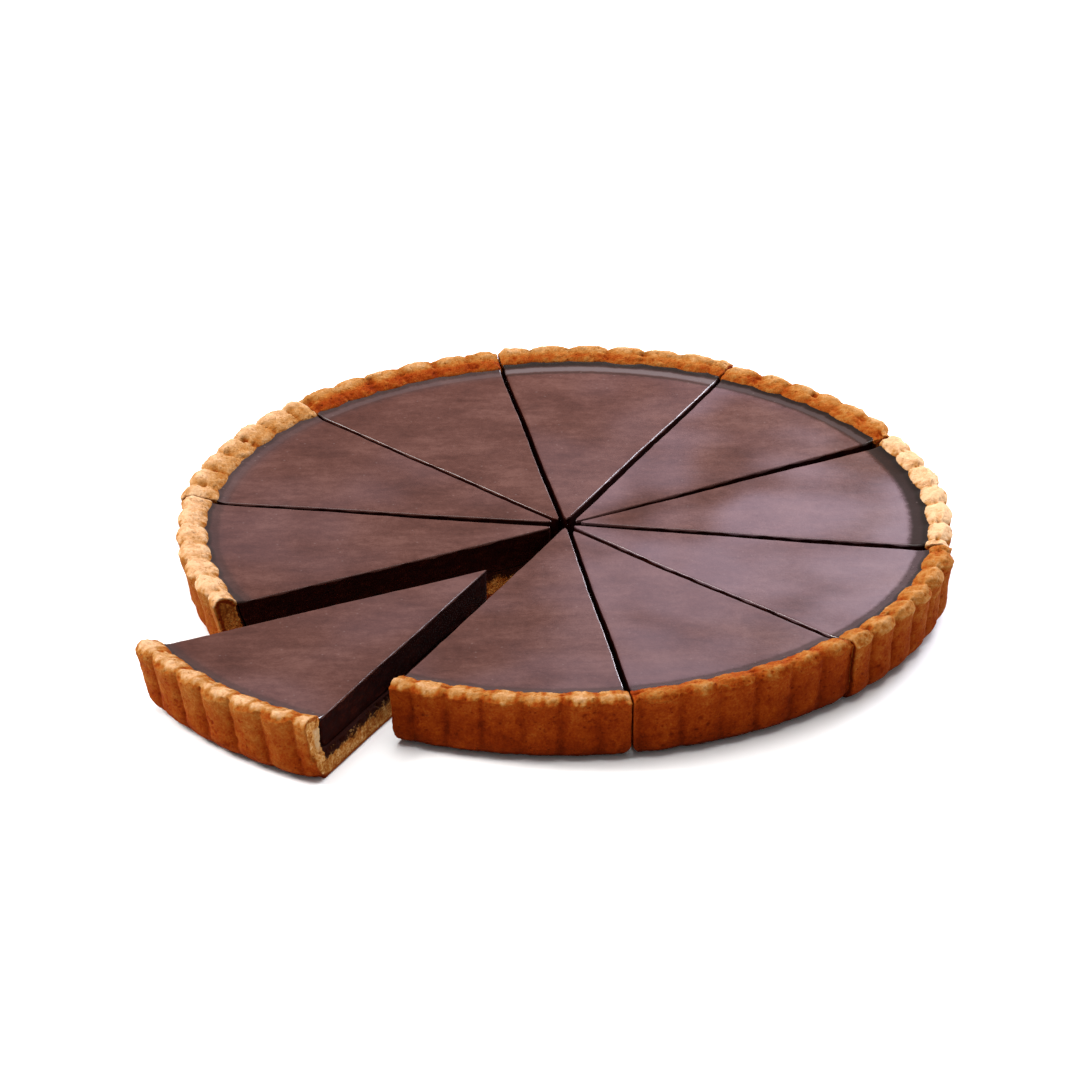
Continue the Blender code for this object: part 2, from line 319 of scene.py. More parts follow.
def case_section(rim, lean, band):
    """r, z, share of flute depth, share of the rim's inward swell, share of the crest's rise and fall,
    zone: 0 underside, 1 wall, 2 rim, 3 inside."""
    R, C = RIM_RADIUS, CREST_Z
    foot, contact = R - lean, R - rim
    arc = []
    for degrees in (-90, -70, -50, -32, -15, 0):
        a = math.radians(degrees)
        share = (degrees + 90) / 90.0
        arc.append((foot - FOOT_ROUND + FOOT_ROUND * math.cos(a), FOOT_ROUND + FOOT_ROUND * math.sin(a),
                    0.82 * share ** 0.8, 0.0, 0.0, 1.0))
    outside = arc + [
        (R - 0.55 * lean - 0.45, 15.0, 0.90, 0.0, 0.0, 1.0),
        (R - 0.75, 20.6, 0.96, 0.0, 0.0, 1.0),
        (R - 0.20, 22.9, 1.00, 0.0, 0.1, 1.0),
        (R - 0.10, 24.2, 0.95, 0.0, 0.35, 1.5),
        (R - 0.90, 25.6, 0.85, 0.0, 0.7, 2.0),
        (R - 2.20, C - 0.30, 0.62, 0.0, 0.95, 2.0),
        (R - 0.38 * rim, C, 0.32, 0.1, 1.0, 2.0),
        (R - 0.62 * rim, C - 0.55 - 0.35 * band, 0.12, 0.35, 0.85, 2.0),
        (R - 0.84 * rim, C - 1.35 - 0.15 * band, 0.0, 0.8, 0.55, 2.0),
        (contact, CONTACT_Z, 0.0, 1.0, 0.15, 2.4),
        (contact - 0.4, CONTACT_Z - 1.9, 0.0, 0.8, 0.0, 3.0),
        (contact - 0.9, FILLING_Z - 4.0, 0.0, 0.5, 0.0, 3.0),
        (contact - 2.0, BASE_THICK + FLOOR_FILLET, 0.0, 0.0, 0.0, 3.0),
        (contact - 3.2, BASE_THICK + 1.0, 0.0, 0.0, 0.0, 3.0),
        (contact - 2.0 - FLOOR_FILLET, BASE_THICK, 0.0, 0.0, 0.0, 3.0),
    ]
    steps = [1.0] * 5 + [0.5, 0.5, 0.42, 0.36, 0.34, 0.34, 0.4, 0.42, 0.42, 0.42, 0.6, 1.2, 1.6, 1.2, 1.2]
    rows = resampled(outside, steps)
    under = [(r, 0.0, 0.0, 0.0, 0.0, 0.0) for r in
             (INNER, 27.0, 33.0, 40.0, 48.0, 56.0, 64.0, 72.0, 80.0, 87.0, 94.0, 100.0, 106.0, 111.0, 116.0, 120.0, 124.0)
             if r < foot - FOOT_ROUND - 1.5]
    floor = [(r, BASE_THICK, 0.0, 0.0, 0.0, 3.0) for r in
             (120.0, 112.0, 104.0, 95.0, 86.0, 77.0, 68.0, 58.0, 48.0, 38.0, 29.0, INNER) if r < contact - 7.0]
    rows = np.vstack([np.array(under), rows, np.array(floor)])
    d = np.gradient(rows[:, :2], axis=0)
    length = np.hypot(d[:, 0], d[:, 1])
    normal = np.stack([d[:, 1] / length, -d[:, 0] / length], 1)   # points out of the pastry
    return rows, normal


def filling_section(rim):
    """Underside, outer side and top of the chocolate: r, z, share of swell, zone 0 under, 1 side, 2 top."""
    c = CLEARANCE
    contact = RIM_RADIUS - rim
    low = [(r, BASE_THICK + c, 0.0, 0.0) for r in (INNER, 40.0, 60.0, 80.0, 95.0, 110.0) if r < contact - 9]
    low += [
        (contact - 2.0 - FLOOR_FILLET - c, BASE_THICK + c, 0.0, 0.0),
        (contact - 3.2 - 1.5 * c, BASE_THICK + 1.0 + c, 0.0, 1.0),
        (contact - 2.0 - 1.5 * c, BASE_THICK + FLOOR_FILLET + c, 0.0, 1.0),
        (contact - 0.9 - 1.3 * c, FILLING_Z - 4.0, 0.5, 1.0),
        (contact - 0.4 - c, CONTACT_Z - 1.9, 0.8, 1.0),
        (contact + 0.35, CONTACT_Z - 0.5, 1.0, 1.0),
    ]
    top = []
    for out in (0.0, 0.25, 0.6, 1.0, 1.4, 1.8, 2.3, 2.8, 3.4, 4.0, 4.7, 5.4, 6.2, 7.0):
        s = 1.0 - out / MENISCUS_WIDTH
        rise = (CONTACT_Z - 0.15 - FILLING_Z) * max(s, 0.0) ** 2.2
        top.append((contact + 0.25 - out, FILLING_Z + rise, max(0.0, 1.0 - out / 6.5), 2.0))
    r = contact - 8.2
    while r > INNER + 1.0:
        top.append((r, FILLING_Z, 0.0, 2.0))
        r -= 1.5
    top.append((INNER, FILLING_Z, 0.0, 2.0))
    return np.array(low + top)


# ---------------------------------------------------------------- mesh building
class Patchwork:
    """Vertices, faces and per-vertex numbers gathered patch by patch, then welded into one closed mesh."""

    def __init__(self, names):
        self.names = names
        self.points, self.faces, self.values, self.count = [], [], [], 0
        self.kinds = []

    def add(self, points, faces, kind=0, **values):
        n = len(points)
        self.points.append(points)
        self.faces += [tuple(i + self.count for i in f) for f in faces]
        self.kinds += [kind] * len(faces)
        self.values.append(np.stack([np.broadcast_to(values.get(name, 0.0), n) for name in self.names], 1))
        self.count += n

    def mesh(self, name, weld=0.012):
        points = np.vstack(self.points)
        values = np.vstack(self.values)
        key = np.round(points / weld).astype(np.int64)
        _, first, index = np.unique(key, axis=0, return_index=True, return_inverse=True)
        index = index.reshape(-1)
        faces, kinds = [], []
        for f, kind in zip(self.faces, self.kinds):
            g = [int(index[i]) for i in f]
            h = [v for j, v in enumerate(g) if v != g[j - 1]]
            if len(set(h)) >= 3 and len(set(h)) == len(h):
                faces.append(h)
                kinds.append(kind)
        made = bpy.data.meshes.new(name)
        made.from_pydata(points[first].tolist(), [], faces)
        for j, label in enumerate(self.names):
            layer = made.attributes.new(label, "FLOAT", "POINT")
            layer.data.foreach_set("value", values[first, j].astype(np.float32))
        made.polygons.foreach_set("material_index", np.array(kinds, np.int32))
        bm = bmesh.new()
        bm.from_mesh(made)
        bmesh.ops.recalc_face_normals(bm, faces=bm.faces)
        loose = [v for v in bm.verts if not v.link_faces]
        bmesh.ops.delete(bm, geom=loose, context="VERTS")
        bm.to_mesh(made)
        bm.free()
        return made


def grid_faces(columns, rows):
    c, k = np.meshgrid(np.arange(columns - 1), np.arange(rows - 1), indexing="ij")
    a = (c * rows + k).ravel()
    return np.stack([a, a + rows, a + rows + 1, a + 1], 1).tolist()


def read(mesh, name, count=None):
    layer = mesh.attributes[name]
    out = np.zeros(len(mesh.vertices))
    layer.data.foreach_get("value", out)
    return out


def write(mesh, name, values):
    layer = mesh.attributes.get(name) or mesh.attributes.new(name, "FLOAT", "POINT")
    layer.data.foreach_set("value", np.asarray(values, np.float32))


def coords(mesh):
    out = np.zeros(len(mesh.vertices) * 3)
    mesh.vertices.foreach_get("co", out)
    return out.reshape(-1, 3)


def normals(mesh):
    mesh.update()
    out = np.zeros(len(mesh.vertices) * 3, np.float32)
    mesh.vertex_normals.foreach_get("vector", out)
    return out.reshape(-1, 3).astype(float)


def around(side_low, side_high, tip, r, z, u):
    """Points at radius r and height z, a share u of the way from one cut to the other.
    Inside INNER, r closes in on the tip in a straight line, and the tip itself is blunt."""
    blunt = side_low.blunt
    u = 0.5 + (u - 0.5) * np.sqrt(np.clip((r - blunt) / 1.6, 0.0, 1.0))
    outer = np.maximum(r, INNER)
    start, end = side_low.angle(outer, z), side_high.angle(outer, z)
    a = start + (end - start) * u
    x, y = outer * np.cos(a), outer * np.sin(a)
    s = np.minimum(r / INNER, 1.0)
    return np.stack([tip[0] + (x - tip[0]) * s, tip[1] + (y - tip[1]) * s, np.broadcast_to(z, x.shape)], -1)


def cut_face(work, side_low, side_high, tip, u, border, spacing, random, kind=0, skin_from=0.0, **values):
    """Fills a cut: border is the loop of (r, z) round it, whose points are already in the mesh."""
    border = np.array(border)
    keep = [0]
    for i in range(1, len(border)):
        if np.hypot(*(border[i] - border[keep[-1]])) > 0.02:
            keep.append(i)
    border = border[keep]
    if np.hypot(*(border[0] - border[-1])) < 0.02:
        border = border[:-1]
    lo, hi = border.min(0), border.max(0)
    gx = np.arange(lo[0] + spacing * 0.5, hi[0], spacing)
    gz = np.arange(lo[1] + spacing * 0.5, hi[1], spacing)
    x, z = np.meshgrid(gx, gz, indexing="ij")
    inner = np.stack([x.ravel(), z.ravel()], 1)
    inner += random.uniform(-0.3, 0.3, inner.shape) * spacing
    # inside the loop, and not too near it
    inside = np.zeros(len(inner), bool)
    near = np.full(len(inner), 1e9)
    for i in range(len(border)):
        p, q = border[i - 1], border[i]
        cond = (p[1] > inner[:, 1]) != (q[1] > inner[:, 1])
        with np.errstate(divide="ignore", invalid="ignore"):
            xi = (q[0] - p[0]) * (inner[:, 1] - p[1]) / (q[1] - p[1] if q[1] != p[1] else 1e-12) + p[0]
        inside ^= cond & (inner[:, 0] < xi)
        d = q - p
        t = np.clip(((inner - p) @ d) / max(1e-12, d @ d), 0, 1)
        near = np.minimum(near, np.hypot(*(inner - p - t[:, None] * d).T))
    inner = inner[inside & (near > spacing * 0.42)]
    points = np.vstack([border, inner])
    n = len(border)
    edges = [(i, (i + 1) % n) for i in range(n)]
    out, _, tris, source, _, _ = delaunay_2d_cdt([Vector(p) for p in points], edges, [], 1, 1e-5)
    flat = np.array([tuple(p) for p in out])
    for i, origin in enumerate(source):
        if origin:
            flat[i] = points[origin[0]]
    centre = np.array([flat[list(t)].mean(0) for t in tris])
    ok = np.zeros(len(centre), bool)
    for i in range(n):
        p, q = border[i - 1], border[i]
        cond = (p[1] > centre[:, 1]) != (q[1] > centre[:, 1])
        xi = (q[0] - p[0]) * (centre[:, 1] - p[1]) / (q[1] - p[1] if q[1] != p[1] else 1e-12) + p[0]
        ok ^= cond & (centre[:, 0] < xi)
    tris = [t for t, good in zip(tris, ok) if good]
    at = around(side_low, side_high, tip, flat[:, 0], flat[:, 1], np.full(len(flat), float(u)))
    # how far in from the baked outside every point is
    deep = np.full(len(flat), 1e9)
    for i in range(n):
        p, q = border[i - 1], border[i]
        if kind == 0 and min(p[0], q[0]) < skin_from and max(p[1], q[1]) > 1.5:
            continue
        d = q - p
        t = np.clip(((flat - p) @ d) / max(1e-12, d @ d), 0, 1)
        deep = np.minimum(deep, np.hypot(*(flat - p - t[:, None] * d).T))
    work.add(at, tris, kind, cut=1.0, deep=deep, across=flat[:, 0], **values)


def spaced(low, high, tip, radius, fine, edge):
    """Shares of the way round for columns: close together by the cuts, then even."""
    width = radius * (float(high.angle_at(radius)) - float(low.angle_at(radius)))
    near = [e / width for e in edge]
    count = int(round((width - 2 * edge[-1]) / fine))
    middle = np.linspace(near[-1], 1 - near[-1], count + 1)[1:-1]
    return np.array(near + list(middle) + [1 - e for e in reversed(near)]), width


# ---------------------------------------------------------------- the case of a portion
CASE_VALUES = ("toast", "cut", "deep", "across", "crown", "zone", "lip")


def case_mesh(name, low, high, heading, flutes, rim, lean, crest, looks, seed, end_toast_and_shade):
    deep_flutes, bead, lipped, wall_toast, rim_toast, band = looks
    random = np.random.default_rng(seed)
    rows, normal = case_section(rim, lean, band)
    tip = crossing(low, high)
    edge = [0.0, 0.06, 0.18, 0.36, 0.6]
    u, width = spaced(low, high, tip, RIM_RADIUS, 0.5, edge)
    d_cut = np.minimum(u, 1 - u) * width
    start, end = float(low.angle_at(RIM_RADIUS)), float(high.angle_at(RIM_RADIUS))
    theta = np.degrees(start + (end - start) * u) + heading
    lobe, x = flutes.at(theta)
    crown = (1.0 - np.abs(2 * x - 1) ** 2.1) ** 0.80
    to_groove = np.minimum(x, 1 - x) * 5.7 * math.radians(1) * RIM_RADIUS      # mm from the nearer groove
    groove_no = np.where(x < 0.5, lobe, lobe + 1)
    r0, z0, outer, swell, rise, zone = rows.T
    ones = np.ones(len(rows))
    K = lambda v: v[:, None] * ones
    N = lambda v: np.ones(len(u))[:, None] * v
    r, z = N(r0).copy(), N(z0).copy()
    depth = FLUTE_DEPTH * K(flutes.depth[lobe] * 0.5 + flutes.depth[groove_no] * 0.5)
    on_top = N(smooth(24.6, 26.2, z0) * (zone >= 1.5))
    depth = depth * (deep_flutes * (1 - on_top) + (0.30 + 0.70 * bead) * on_top)
    r -= depth * N(outer) * (1 - K(crown))
    r += K(flutes.bulge[lobe] * crown) * N(outer)
    r -= RIM_WAVE * N(swell) * K(crown * flutes.inward[lobe])
    r += N(swell) * K(NARROWER.get(name[-2:], 0.0) * smooth(14.0, 0.0, (1 - u) * width))
    # the crest rises over a lobe and falls at a groove
    ends = crest[0] + (crest[1] - crest[0]) * u
    z += N(rise) * K(ends - 1.0 * bead * (1 - crown) ** 1.5 + 0.6 * (0.35 + 0.65 * bead) * flutes.raised[lobe] * crown)
    # and rounds off where two portions still touch
    touch = np.where(u < 0.5, low.close_by > 0, high.close_by > 0)
    z -= N(rise) * K(1.1 * touch * smooth(3.2, 0.0, d_cut))
    # dimples between lobes, on the inner half of the rim
    middle = RIM_RADIUS - rim * 0.60
    sunk = np.exp(-((to_groove / 1.9) ** 2))[:, None] * np.exp(-(((N(r0) - middle - K(flutes.dimple_at[groove_no])) / (0.22 * rim)) ** 2))
    sunk *= N((zone >= 2) & (zone < 3)) * K(flutes.dimple[groove_no])
    z -= 1.5 * (0.35 + 0.65 * bead) * sunk
    # the thin raised lip that hangs in a shallow loop from groove to groove
    hang = 23.9 + flutes.lip[lobe] + flutes.lip_sag[lobe] * (np.abs(2 * x - 1) ** 2.6)
    face = N((zone >= 1) & (zone < 2.3)) * N(z0 > 19.0) * N(r0 > RIM_RADIUS - 4.0)
    wob = 0.25 * np.sin(theta * 2.1 + seed) + 0.2 * np.sin(theta * 5.3 + 2 * seed)
    off = z0[None, :] - (hang + wob)[:, None]
    lip = np.exp(-(off / 0.42) ** 2) * face
    r += lip * K(flutes.lip_proud[lobe]) * lipped * 0.8
    # above the lip the pastry sits back a little, then swells into the bead
    r -= 0.40 * lipped * np.exp(-((off - 1.25) / 0.6) ** 2) * face
    # rounded arrises at the cuts
    R = 0.42
    inset = R - np.sqrt(np.maximum(0.0, R * R - (R - np.minimum(d_cut, R)) ** 2))
    r -= K(inset) * N(normal[:, 0]) * (r > INNER)
    z -= K(inset) * N(normal[:, 1])
    z = np.where(N(z0) == 0.0, K(inset * 0.8), z)
    # corners of the wall worn back
    worn_low, long_low, worn_high, long_high = WORN.get(name[-2:], (0.0, 5.0, 0.0, 5.0))
    back = worn_low * smooth(long_low, 0.0, u * width) ** 1.6 + worn_high * smooth(long_high, 0.0, (1 - u) * width) ** 1.6
    foot_only = smooth(15.0, 1.0, z0) if name.endswith("01") else 1.0
    r -= K(back) * N(foot_only * smooth(0.0, 0.3, outer) * (z0 > 0.0))
    # rows that close in on the tip
    blunt = low.blunt
    close = blunt + (INNER - blunt) * np.array([0.0, 0.01, 0.03, 0.065, 0.12, 0.25, 0.42, 0.6, 0.8])
    flat0 = np.repeat(z[:, :1], len(close), 1)
    flat1 = np.repeat(z[:, -1:], len(close), 1)
    r = np.hstack([np.repeat(close[None, :], len(u), 0), r, np.repeat(close[None, ::-1], len(u), 0)])
    z = np.hstack([flat0, z, flat1])
    zone = np.concatenate([np.zeros(len(close)), zone, np.full(len(close), 3.0)])
    z[:, 0] = 0.3
    z[:, -1] = BASE_THICK
    pad = lambda a: np.hstack([np.zeros((len(u), len(close))), a, np.zeros((len(u), len(close)))])
    points = around(low, high, tip, r, z, u[:, None])
    rows_n = r.shape[1]
    # how dark each place is coloured, darker towards the bottom; painted shade and painted highlights are added to it
    # as marked below
    h = z / CREST_Z
    toast = wall_toast + 0.10 * smooth(0.62, 0.12, h) - 0.05 * smooth(0.55, 0.85, h)
    # painted shade: the wall darkens towards the grooves between the lobes
    shadowed = np.exp(-(to_groove / 1.5) ** 2)[:, None]
    toast += 0.10 * shadowed * smooth(0.98, 0.7, h)
    paler = PALER_FROM.get(name[-2:], 0.875) + 0.025 * np.sin(theta * 1.7 + seed)[:, None] + 0.015 * np.sin(theta * 4.9 + 2 * seed)[:, None]
    rim_share = smooth(paler - 0.045, paler + 0.05, h - 0.02 * (np.abs(2 * x - 1) ** 2.6)[:, None]) * (zone[None, :] > 1)
    # the rim takes its own colour, with painted shade darkening it between the lobes
    toast = toast * (1 - rim_share) + rim_share * (rim_toast + 0.10 * (1 - crown)[:, None])
    into = pad((RIM_RADIUS - N(r0)) / rim)
    # painted shade: a darker band on the sunken inner face of the rim
    toast += 0.30 * band * smooth(0.46, 0.80, into) * rim_share
    # painted highlight: a paler line along the crest
    toast -= 0.10 * np.exp(-((into - 0.30) / 0.16) ** 2) * rim_share * (0.5 + 0.5 * crown[:, None])
    if name.endswith("04"):
        toast -= 0.16 * u[:, None] * (zone[None, :] == 1)
    # painted shade: the dimples between the lobes are darker
    toast += 0.42 * pad(sunk) * (0.4 + 0.6 * min(bead, 1.0))
    # painted highlight: the raised lip is paler
    toast -= 0.12 * lipped * pad(lip)
    toast += 0.22 * smooth(3.6, 0.5, z) * (zone[None, :] >= 1)
    toast = np.where(zone[None, :] == 0, 0.66, toast)
    work = Patchwork(CASE_VALUES)
    work.add(points.reshape(-1, 3), grid_faces(len(u), rows_n), 0, toast=toast.ravel(),
             crown=np.repeat(crown, rows_n), zone=np.tile(zone, len(u)), across=r.ravel(),
             deep=0.0, lip=pad(lip).ravel())
    for end_u, side_index in ((0.0, 0), (1.0, -1)):
        tip_line = [(blunt, v) for v in np.linspace(BASE_THICK, 0.3, 11)[1:-1]]
        border = list(zip(r[side_index], z[side_index])) + tip_line
        spacing = 0.62 if name.endswith("01") else 0.85
        cut_face(work, low, high, tip, end_u, border, spacing, random, 0, RIM_RADIUS - rim + 1.0,
                 toast=end_toast_and_shade[0 if end_u == 0.0 else 1], zone=4.0, crown=1.0)
    mesh = work.mesh(name)
    p, n = coords(mesh), normals(mesh)
    cut, deep, zone = read(mesh, "cut"), read(mesh, "deep"), read(mesh, "zone")
    toast, crown, lip = read(mesh, "toast"), read(mesh, "crown"), read(mesh, "lip")
    q = p + seed * 37.0
    skin = (zone >= 1) & (zone < 3) & (cut < 0.5)
    # lumps and grain
    push = 0.16 * fractal(q, 6.5, 2, seed) + 0.15 * fractal(q, 2.3, 2, seed + 3)
    grain = noise(q, 0.95, seed + 8)
    push += 0.10 * grain
    # the rim is lumpier
    on_rim = smooth(23.6, 25.0, p[:, 2]) * skin
    push += on_rim * (0.34 * fractal(q, 3.4, 2, seed + 21) + 0.16 * fractal(q, 1.5, 2, seed + 23) - 0.12)
    # pits, in clusters, of no regular shape
    bent = q + 0.55 * np.stack([noise(q, 1.1, seed + 35), noise(q + 9.0, 1.1, seed + 36), noise(q - 7.0, 1.1, seed + 37)], 1)
    gather = smooth(-0.15, 0.40, noise(q, 10.0, seed + 31))
    f, own = cells(bent, 2.3, seed + 41)
    size = 0.14 + 0.20 * own
    pit = smooth(size + 0.12, size - 0.06, f) * (own > 0.60) * skin * gather
    f2, own2 = cells(bent, 1.15, seed + 47)
    pit2 = smooth(0.40, 0.18, f2) * (own2 > 0.55) * skin
    push -= 0.22 * pit + 0.10 * pit2
    # torn crumb on the cuts
    f3, own3 = cells(q, 1.7, seed + 53)
    f4, own4 = cells(q, 0.9, seed + 59)
    crumb = (0.55 - f3) * 0.55 * (0.5 + own3) + (0.5 - f4) * 0.22
    crumb += 0.35 * fractal(q, 4.0, 2, seed + 61)
    strength = 1.0 if name.endswith("01") else 0.55
    edge_in = smooth(0.0, 1.0, deep)
    torn = (cut > 0.5) & (zone == 4.0)
    push = np.where(torn, strength * (0.45 + 0.55 * edge_in) * crumb * (1.25 if name.endswith("01") else 0.8), push)
    hidden = (zone == 0) & (cut < 0.5)
    push = np.where(hidden, 0.0, push)
    push = np.where((zone >= 3) & (zone < 4), push * 0.3, push)
    # stays in its box, on its foot and clear of the next portion
    push = np.clip(push, -0.9, 0.5)
    p2 = p + n * push[:, None]
    p2[:, 2] = np.clip(p2[:, 2], 0.0, CREST_Z + 0.75)
    mesh.vertices.foreach_set("co", p2.ravel())
    blotch = fractal(q, 9.0, 3, seed + 71)
    toast = toast + 0.09 * blotch * (zone != 4) + 0.09 * pit + 0.07 * pit2
    # painted shade in the hollows and painted highlight on the lumps
    toast = toast + 0.10 * np.clip(-push / 0.3, -1, 1) * skin
    write(mesh, "toast", np.clip(toast, 0.0, 1.0))
    write(mesh, "crumb", np.clip(0.5 + 0.9 * crumb, 0, 1))
    # chocolate crumbs dragged down over the floor by the knife
    under = BASE_THICK - p[:, 2]
    smear = smooth(6.6, 0.8, under) * (read(mesh, "across") < RIM_RADIUS - rim - 1.6) * (cut > 0.5)
    smear = np.where((zone >= 3) & (zone < 4) & (p[:, 2] < FILLING_Z - 0.5), 1.6, smear)
    write(mesh, "smear", smear)
    write(mesh, "deep", np.clip(deep, 0, 20))
    drawn = name.endswith("01")
    write(mesh, "skin_deep", np.full(len(p), 0.4 if drawn else 1.2))
    clean = smooth(4.0, 5.4, deep) * smooth(BASE_THICK - 1.0, BASE_THICK + 3.0, p[:, 2]) * (cut > 0.5) * (read(mesh, "across") > RIM_RADIUS - rim - 2.0) if drawn else 0.0 * deep
    write(mesh, "clean", clean)
    mesh.shade_smooth()
    mesh.update()
    return mesh


# ---------------------------------------------------------------- the chocolate of a portion
FILL_VALUES = ("cut", "deep", "across", "edge", "zone")
# how much bloom and painted sheen a portion has, how much painted shade darkens the chocolate where it climbs to the
# crust, how strong a painted pale sheen band near the crust is, and how wide these bands are
BLOOM_AND_SHEEN = {"01": 0.2, "02": 0.4, "03": 0.7, "04": 1.0, "05": 1.0, "06": 0.7, "07": 0.2, "08": 0.0, "09": 0.2, "10": 0.2}
CLIMB_SHADE = {"01": 0.35, "02": 0.45, "03": 0.55, "04": 0.7, "05": 1.0, "06": 0.85, "07": 0.45, "08": 0.15, "09": 0.15, "10": 0.35}
SHEEN_BAND = {"07": 1.0, "08": 0.25, "09": 0.1, "06": 0.35}
BAND_WIDE = {"07": 1.6, "06": 1.15, "05": 1.35, "08": 1.15}


def filling_mesh(name, low, high, heading, flutes, rim, seed):
    random = np.random.default_rng(seed + 900)
    rows = filling_section(rim)
    tip = crossing(low, high)
    edge = [0.0, 0.04, 0.12, 0.24, 0.42, 0.65]
    radius = RIM_RADIUS - rim
    u, width = spaced(low, high, tip, radius, 0.95, edge)
    d_cut = np.minimum(u, 1 - u) * width
    start, end = float(low.angle_at(radius)), float(high.angle_at(radius))
    theta = np.degrees(start + (end - start) * u) + heading
    lobe, x = flutes.at(theta)
    crown = (1.0 - np.abs(2 * x - 1) ** 2.3) ** 0.72
    r0, z0, swell, zone = rows.T
    r = np.ones((len(u), 1)) * r0
    z = np.ones((len(u), 1)) * z0
    r = r - RIM_WAVE * swell[None, :] * (crown * flutes.inward[lobe])[:, None]
    r = r + swell[None, :] * (NARROWER.get(name[-2:], 0.0) * smooth(14.0, 0.0, (1 - u) * width))[:, None]
    top = zone[None, :] == 2
    # columns by the cuts keep their distance from the cut as the portion narrows
    share = np.where(u < 0.5, u, 1 - u)[:, None] * np.ones((1, len(r0)))
    wide = np.maximum(r, 1.0) * (high.angle(np.maximum(r, INNER), z) - low.angle(np.maximum(r, INNER), z))
    real = np.minimum(d_cut[:, None] * np.ones((1, len(r0))), 0.33 * wide * (d_cut[:, None] / edge[-1]))
    near = d_cut[:, None] <= edge[-1] + 1e-6
    first = np.minimum(edge[-1] / wide, 0.33)
    even0, even1 = edge[-1] / width, 1 - edge[-1] / width
    even = first + (1 - 2 * first) * (u[:, None] - even0) / (even1 - even0)
    sided = np.where(u[:, None] < 0.5, real / wide, 1 - real / wide)
    uu = np.where(near, sided, even)
    # rounded upper arris
    R = 0.65
    drop = R - np.sqrt(np.maximum(0.0, R * R - (R - np.minimum(d_cut, R)) ** 2))
    ragged = 1.0 + 0.35 * np.sin(r * 0.31 + seed) + 0.25 * np.sin(r * 0.83 + 2 * seed)
    z = z - np.where(top, drop[:, None] * ragged, 0.0)
    # rows that close in on the tip
    blunt = low.blunt
    close = blunt + (INNER - blunt) * np.array([0.0, 0.008, 0.025, 0.05, 0.08, 0.12, 0.18, 0.27, 0.38, 0.5, 0.62, 0.74, 0.87])
    n_close = len(close)
    uc = np.repeat(uu[:, -1:], n_close, 1)
    r = np.hstack([np.repeat(close[None, :], len(u), 0), r, np.repeat(close[None, ::-1], len(u), 0)])
    z = np.hstack([np.repeat(z[:, :1], n_close, 1), z, np.repeat(z[:, -1:], n_close, 1)])
    uu = np.hstack([np.repeat(uu[:, :1], n_close, 1), uu, uc])
    zone = np.concatenate([np.zeros(n_close), zone, np.full(n_close, 2.0)])
    z[:, 0] = BASE_THICK + CLEARANCE
    z[:, -1] = FILLING_Z - R * 1.1
    points = around(low, high, tip, r, z, uu)
    rows_n = r.shape[1]
    distance = np.maximum(0.0, (RIM_RADIUS - rim - RIM_WAVE * (crown * flutes.inward[lobe])[:, None] * np.clip(1 - (RIM_RADIUS - rim - r) / 6.5, 0, 1)) - r)
    work = Patchwork(FILL_VALUES)
    work.add(points.reshape(-1, 3), grid_faces(len(u), rows_n), 0, edge=distance.ravel(),
             across=r.ravel(), zone=np.tile(zone, len(u)), deep=np.repeat(d_cut, rows_n))
    # faces of the underside and the outer side take the look of the cuts
    for i, f in enumerate(work.faces):
        work.kinds[i] = 0 if zone[i % (rows_n - 1)] >= 2 and zone[min(i % (rows_n - 1) + 1, rows_n - 1)] >= 2 else 1
    for end_u, side_index in ((0.0, 0), (1.0, -1)):
        tip_line = [(blunt, v) for v in np.linspace(FILLING_Z - R * 1.1, BASE_THICK + CLEARANCE, 13)[1:-1]]
        border = list(zip(r[side_index], z[side_index])) + tip_line
        cut_face(work, low, high, tip, end_u, border, 1.3, random, 1, edge=20.0, zone=4.0)
    mesh = work.mesh(name)
    p, n = coords(mesh), normals(mesh)
    cut, zone = read(mesh, "cut"), read(mesh, "zone")
    q = p + seed * 37.0
    surface = (zone == 2) & (cut < 0.5)
    # the knife drags the face of the cut
    along = read(mesh, "across")
    drag = np.stack([along * 0.35, p[:, 2] * 1.0, np.full(len(p), seed * 11.0)], 1)
    push = np.where(zone == 4, 0.16 * fractal(drag, 3.0, 3, seed + 5), 0.0)
    # the poured surface is nearly level
    push = np.where(surface, 0.045 * noise(q * (1, 1, 0), 17.0, seed) + 0.02 * noise(q * (1, 1, 0), 6.0, seed + 2), push)
    p2 = p + n * push[:, None]
    mesh.vertices.foreach_set("co", p2.ravel())
    write(mesh, "bloom_and_sheen", np.full(len(p), BLOOM_AND_SHEEN[name[-2:]]))
    write(mesh, "climb_shade", np.full(len(p), CLIMB_SHADE[name[-2:]]))
    write(mesh, "sheen_band", np.full(len(p), SHEEN_BAND.get(name[-2:], 0.0)))
    write(mesh, "band_wide", np.full(len(p), BAND_WIDE.get(name[-2:], 1.0)))
    write(mesh, "deep", np.where(surface, read(mesh, "deep"), 0.0))
    mesh.shade_smooth()
    mesh.update()
    return mesh


